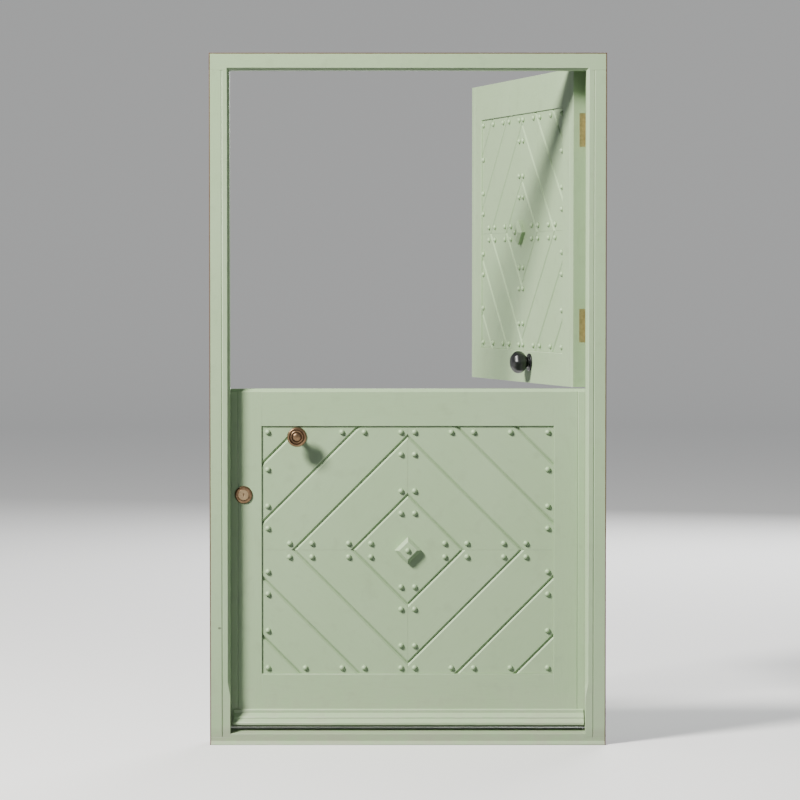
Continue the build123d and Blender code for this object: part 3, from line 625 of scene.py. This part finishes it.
for upper, leaf in ((False, "lower"), (True, "upper")):
    body = "top_leaf" if upper else "bottom_leaf"
    values = {"Radius": studs["radius"], "Height": studs["height"], "Sides": studs["sides"],
              "Rings": studs["rings"], "Seed": studs["seed"]}
    seats = studSeats(upper)
    piece = grow(leaf + "Studs", studTree(finishes[leaf + "Upright"]), seats, values)
    hang(piece, body, [body + "_studs"])
    print(leaf, "studs:", len(seats))


# slotted screws of the hinges, latch and stable bolt

screws = {
    "radius": 0.0036, "depth": 0.002, "proud": 0.0003, "sides": 20, "spin": 3.14, "seed": 4,
    "slotWide": 0.0011, "slotLong": 0.02, "slotDeep": 0.0016,
    "lowerHinges": (0.236, 0.894), "upperHinges": (1.274, 1.871),
    "spots": ((-0.038, 0.005), (-0.013, -0.005), (0.013, 0.005), (0.038, -0.005)),   # on a hinge's plate
    "jambPlate": (0.555, 0.0345),             # along and depth of a plate's middle
    "leafPlate": (0.552, 0.032),
    "caseFace": 0.072, "plateFace": 0.047,    # depth of the latch's face and of the bolt's plates
    "latchHeight": 0.759, "keepSpread": 0.017, "caseSpread": 0.026,
    "keepAlong": (-0.571,), "caseAlong": (-0.541, -0.4665),
    "boltAlong": -0.5, "boltSpread": 0.0125,
    "boltKeep": (1.040, 1.073), "boltPlate": (1.0948, 1.165, 1.2352),
}


def screwTree(material):
    tree, start = newTree("screwTree", [("Radius", "Float"), ("Depth", "Float"), ("Proud", "Float"),
                                        ("Slot Width", "Float"), ("Slot Length", "Float"),
                                        ("Slot Depth", "Float"), ("Sides", "Int"), ("Seed", "Int")])
    head = step(tree, "GeometryNodeMeshCylinder", {}, {"Vertices": start.outputs["Sides"],
                                                       "Radius": start.outputs["Radius"],
                                                       "Depth": start.outputs["Depth"]})
    half = step(tree, "ShaderNodeMath", {"operation": "MULTIPLY"}, {0: start.outputs["Depth"], 1: 0.5})
    lift = step(tree, "ShaderNodeMath", {"operation": "SUBTRACT"},
                {0: start.outputs["Proud"], 1: half.outputs[0]})
    drop = step(tree, "ShaderNodeCombineXYZ", {}, {2: lift.outputs[0]})
    sunk = step(tree, "GeometryNodeTransform", {},
                {"Geometry": head.outputs[0], "Translation": drop.outputs[0]})
    slotSize = step(tree, "ShaderNodeCombineXYZ", {}, {0: start.outputs["Slot Length"],
                                                       1: start.outputs["Slot Width"],
                                                       2: start.outputs["Slot Depth"]})
    slot = step(tree, "GeometryNodeMeshCube", {}, {"Size": slotSize.outputs[0]})
    atTop = step(tree, "ShaderNodeCombineXYZ", {}, {2: start.outputs["Proud"]})
    raised = step(tree, "GeometryNodeTransform", {},
                  {"Geometry": slot.outputs[0], "Translation": atTop.outputs[0]})
    cut = step(tree, "GeometryNodeMeshBoolean", {"operation": "DIFFERENCE", "solver": "EXACT"},
               {"Mesh 1": sunk.outputs[0], "Mesh 2": raised.outputs[0]})
    plain = step(tree, "GeometryNodeSetShadeSmooth", {},
                 {"Geometry": cut.outputs[0], "Shade Smooth": False})
    placed = instanceOn(tree, start, plain.outputs[0], screws["spin"])
    finishTree(tree, placed.outputs[0], material)
    return tree


def jambSeats(heights):
    along, depth = screws["jambPlate"]
    return [(Vector((along, depth + shift, height + up)), Vector((-1, 0, 0)))
            for height in heights for up, shift in screws["spots"]]


def leafSeats(upper, heights):
    along, depth = screws["leafPlate"]
    return [(onLeaf(upper, along, depth + shift, height + up), leafWay(upper, (1, 0, 0)))
            for height in heights for up, shift in screws["spots"]]


def inwardSeats(upper, depth, alongs, ups):
    return [(onLeaf(upper, along, depth, up), leafWay(upper, (0, 1, 0))) for along in alongs for up in ups]


def eachWay(middle, spread):
    return middle - spread, middle + spread


boltAlongs = eachWay(screws["boltAlong"], screws["boltSpread"])
keepUps = eachWay(screws["latchHeight"], screws["keepSpread"])
caseUps = eachWay(screws["latchHeight"], screws["caseSpread"])
screwJobs = (
    ("jambHingeScrews", "frame", "hingeBrass", "hinge_brass",
     jambSeats(screws["lowerHinges"] + screws["upperHinges"])),
    ("lowerHingeScrews", "bottom_leaf", "hingeBrass", "hinge_brass",
     leafSeats(False, screws["lowerHinges"])),
    ("upperHingeScrews", "top_leaf", "hingeBrass", "hinge_brass",
     leafSeats(True, screws["upperHinges"])),
    ("keepScrews", "frame", "blackLacquer", "black_lacquer",
     inwardSeats(False, screws["caseFace"], screws["keepAlong"], keepUps)),
    ("latchScrews", "bottom_leaf", "blackLacquer", "black_lacquer",
     inwardSeats(False, screws["caseFace"], screws["caseAlong"], caseUps)
     + inwardSeats(False, screws["plateFace"], boltAlongs, screws["boltKeep"])),
    ("stableBoltScrews", "top_leaf", "blackLacquer", "black_lacquer",
     inwardSeats(True, screws["plateFace"], boltAlongs, screws["boltPlate"])),
)
for name, body, material, slot, seats in screwJobs:
    values = {"Radius": screws["radius"], "Depth": screws["depth"], "Proud": screws["proud"],
              "Slot Width": screws["slotWide"], "Slot Length": screws["slotLong"],
              "Slot Depth": screws["slotDeep"], "Sides": screws["sides"], "Seed": screws["seed"]}
    hang(grow(name, screwTree(finishes[material]), seats, values), body)
print("screws:", sum(len(job[4]) for job in screwJobs))


# turned pieces: outline points are (radius, height above the seat), then 1 where the ring is eight-sided

turning = {"steps": 64, "sharp": 32, "blunted": 1.066}


def ringPoint(angle, eightSided):             # reach at an angle, for a mean radius of 1
    fromFlat = (angle + math.pi / 8) % (math.pi / 4) - math.pi / 8
    return 1 + eightSided * (min(1 / math.cos(math.pi / 8 - abs(fromFlat)), turning["blunted"]) - 1)


def turned(name, outline, seat, out, material, sharp=turning["sharp"], grooves=()):
    steps = turning["steps"]
    side = out.cross(Vector((0, 0, 1))).normalized()
    up = side.cross(out)
    shape = bmesh.new()
    rings = []
    for radius, height, *eightSided in outline:
        if radius == 0:
            rings.append([shape.verts.new(seat + out * height)])
            continue
        ring = []
        for number in range(steps):
            angle = 2 * math.pi * number / steps
            reach = radius * ringPoint(angle, *(eightSided or [0]))
            way = math.cos(angle) * side + math.sin(angle) * up
            ring.append(shape.verts.new(seat + out * height + reach * way))
        rings.append(ring)
    if outline[0][0]:                         # a ring with a hole closes on itself
        rings.append(rings[0])
    for lower, upper in zip(rings, rings[1:]):
        for number in range(steps):
            after = (number + 1) % steps
            corners = [lower[number % len(lower)], lower[after % len(lower)],
                       upper[after % len(upper)], upper[number % len(upper)]]
            shape.faces.new(list(dict.fromkeys(corners)))
    bmesh.ops.recalc_face_normals(shape, faces=shape.faces)
    tarnish = shape.verts.layers.float.new("tarnish")
    for vertex in shape.verts:
        height = (vertex.co - seat).dot(out)
        reach = (vertex.co - seat - out * height).length
        vertex[tarnish] = float(any(low < reach < high and height > start for low, high, start in grooves))
    mesh = bpy.data.meshes.new(name)
    shape.to_mesh(mesh)
    shape.free()
    mesh.shade_smooth()
    mesh.set_sharp_from_angle(angle=math.radians(sharp))
    mesh.materials.append(material)
    return addObject(name, mesh)


pullKnob = {
    "place": (-0.3366, 0.005, 0.9373),
    "grooves": ((0.0203, 0.0224, 0.05), (0.0125, 0.0150, 0.05)),   # inner and outer radius, least height
    "outline": (
        (0, 0), (0.0280, 0), (0.0280, 0.0014), (0.0272, 0.0034), (0.0250, 0.0050), (0.0215, 0.0057),
        (0.0175, 0.0059), (0.0140, 0.0068), (0.0112, 0.0092), (0.0097, 0.0130), (0.0090, 0.0180),
        (0.0090, 0.0245), (0.0098, 0.0300), (0.0118, 0.0345), (0.0150, 0.0378), (0.0190, 0.0402),
        (0.0235, 0.0422), (0.0272, 0.0446), (0.0292, 0.0476), (0.0300, 0.0512), (0.0296, 0.0546),
        (0.0282, 0.0568), (0.0262, 0.0579), (0.0242, 0.0578), (0.0228, 0.0566), (0.0221, 0.0548),
        (0.0208, 0.0545), (0.0199, 0.0558), (0.0184, 0.0567), (0.0166, 0.0566), (0.0153, 0.0555),
        (0.0147, 0.0538), (0.0132, 0.0535), (0.0122, 0.0547), (0.0100, 0.0562), (0.0070, 0.0572),
        (0.0035, 0.0577), (0, 0.0578),
    ),
}
seat = onLeaf(False, *pullKnob["place"])
piece = turned("turnedPullKnob", pullKnob["outline"], seat, Vector((0, -1, 0)), finishes["agedBronze"],
               grooves=pullKnob["grooves"])
hang(piece, "bottom_leaf", ["pull_knob"])

cylinderRose = {
    "place": (-0.501, 0.0, 0.759),
    "outline": ((0.01605, 0), (0.0270, 0), (0.0270, 0.0014), (0.0264, 0.0032), (0.0248, 0.0048),
                (0.0225, 0.0057), (0.0200, 0.0060), (0.0182, 0.0057), (0.01605, 0.0055)),
}
seat = onLeaf(False, *cylinderRose["place"])
piece = turned("domedCylinderRose", cylinderRose["outline"], seat, Vector((0, -1, 0)), finishes["agedBronze"])
hang(piece, "bottom_leaf", ["cylinder_rose"])

blackKnob = {
    "place": (0.106, 0.0, 1.152),
    "sharp": 60,
    "outline": (
        (0, 0), (0.0280, 0), (0.0280, 0.0030), (0.0270, 0.0046), (0.0220, 0.0052), (0.0180, 0.0058),
        (0.0160, 0.0074), (0.0156, 0.0100), (0.0178, 0.0128, 0.5), (0.0224, 0.0158, 1),
        (0.0268, 0.0200, 1), (0.0303, 0.0248, 1), (0.0325, 0.0300, 1), (0.0333, 0.0350, 1),
        (0.0333, 0.0400, 1), (0.0325, 0.0450, 1), (0.0304, 0.0500, 1), (0.0271, 0.0545, 1),
        (0.0229, 0.0583, 1), (0.0181, 0.0609, 1), (0.0126, 0.0619, 0.8), (0.0060, 0.0620, 0), (0, 0.0620),
    ),
}
seat = onLeaf(True, *blackKnob["place"])
piece = turned("eightSidedKnob", blackKnob["outline"], seat, leafWay(True, (0, -1, 0)), finishes["blackIron"],
               blackKnob["sharp"])
hang(piece, "top_leaf", ["top_leaf_knob"])
print("knobs and rose turned")


# seals and through bolts keep their nodes and get their finish

slotFinish = {"steel": "plainSteel", "rebate_seal": "sealRubber"}
for node, piece in cadNodes.items():
    if piece.hide_render:
        continue
    for entry in piece.material_slots:
        entry.material = finishes[slotFinish[slotOf[node]]]


# floor, backdrop and lamps

stage = {"flat": 22.0, "flatRings": (0.25, 0.5, 0.75, 1.0), "bend": 8.0, "bendSteps": 12, "high": 22.0,
         "steps": 96, "roughness": 0.85, "specular": 0.2,
         "colour": opaque(0.80, 0.795, 0.78), "glow": 0.22}


def backdrop():                               # a floor that rises all round, pale from every side
    outline = [(stage["flat"] * part, 0.0) for part in stage["flatRings"]]
    for number in range(1, stage["bendSteps"] + 1):
        angle = math.radians(90 * number / stage["bendSteps"])
        outline.append((stage["flat"] + stage["bend"] * math.sin(angle),
                        stage["bend"] * (1 - math.cos(angle))))
    outline.append((stage["flat"] + stage["bend"], stage["high"]))
    shape = bmesh.new()
    rings = [[shape.verts.new((0, 0, 0))]]
    turns = [2 * math.pi * number / stage["steps"] for number in range(stage["steps"])]
    for reach, height in outline:
        rings.append([shape.verts.new((reach * math.cos(turn), reach * math.sin(turn), height))
                      for turn in turns])
    for inner, outer in zip(rings, rings[1:]):
        for number in range(stage["steps"]):
            after = (number + 1) % stage["steps"]
            corners = [inner[number % len(inner)], outer[number], outer[after], inner[after % len(inner)]]
            shape.faces.new(list(dict.fromkeys(corners)))
    mesh = bpy.data.meshes.new("paleSweep")
    shape.to_mesh(mesh)
    shape.free()
    mesh.shade_smooth()
    finish = Finish("paleFloor", Roughness=stage["roughness"], Specular_IOR_Level=stage["specular"],
                    Base_Color=stage["colour"], Emission_Color=stage["colour"],
                    Emission_Strength=stage["glow"])
    mesh.materials.append(finish.material)
    sweep = addObject("paleSweep", mesh)
    sweep.visible_diffuse = False             # keeps its bounce off the door, so shadows stay deep


studio = {"aim": (0, 0, 1.05), "sky": opaque(0.88, 0.93, 1.0), "skyStrength": 0.20}
lamps = (
    {"name": "key", "place": (-5.3, -4.6, 6.6), "size": 2.2, "power": 2300.0, "colour": (1.0, 0.985, 0.95)},
    {"name": "fill", "place": (4.5, -8.0, 2.6), "size": 5.0, "power": 30.0, "colour": (0.92, 0.96, 1.0)},
    {"name": "back", "place": (2.5, 8.0, 4.5), "size": 4.0, "power": 700.0, "colour": (0.98, 0.99, 1.0)},
)

backdrop()
for lamp in lamps:
    light = bpy.data.lights.new(lamp["name"], "AREA")
    light.shape = "DISK"
    light.size = lamp["size"]
    light.energy = lamp["power"]
    light.color = lamp["colour"]
    holder = addObject(lamp["name"], light)
    holder.location = lamp["place"]
    aim = Vector(studio["aim"]) - Vector(lamp["place"])
    holder.rotation_euler = aim.to_track_quat("-Z", "Y").to_euler()
world = bpy.data.worlds.new("studio")
world.use_nodes = True
sky = world.node_tree.nodes["Background"]
sky.inputs["Color"].default_value = studio["sky"]
sky.inputs["Strength"].default_value = studio["skyStrength"]
bpy.context.scene.world = world
print("stage set")
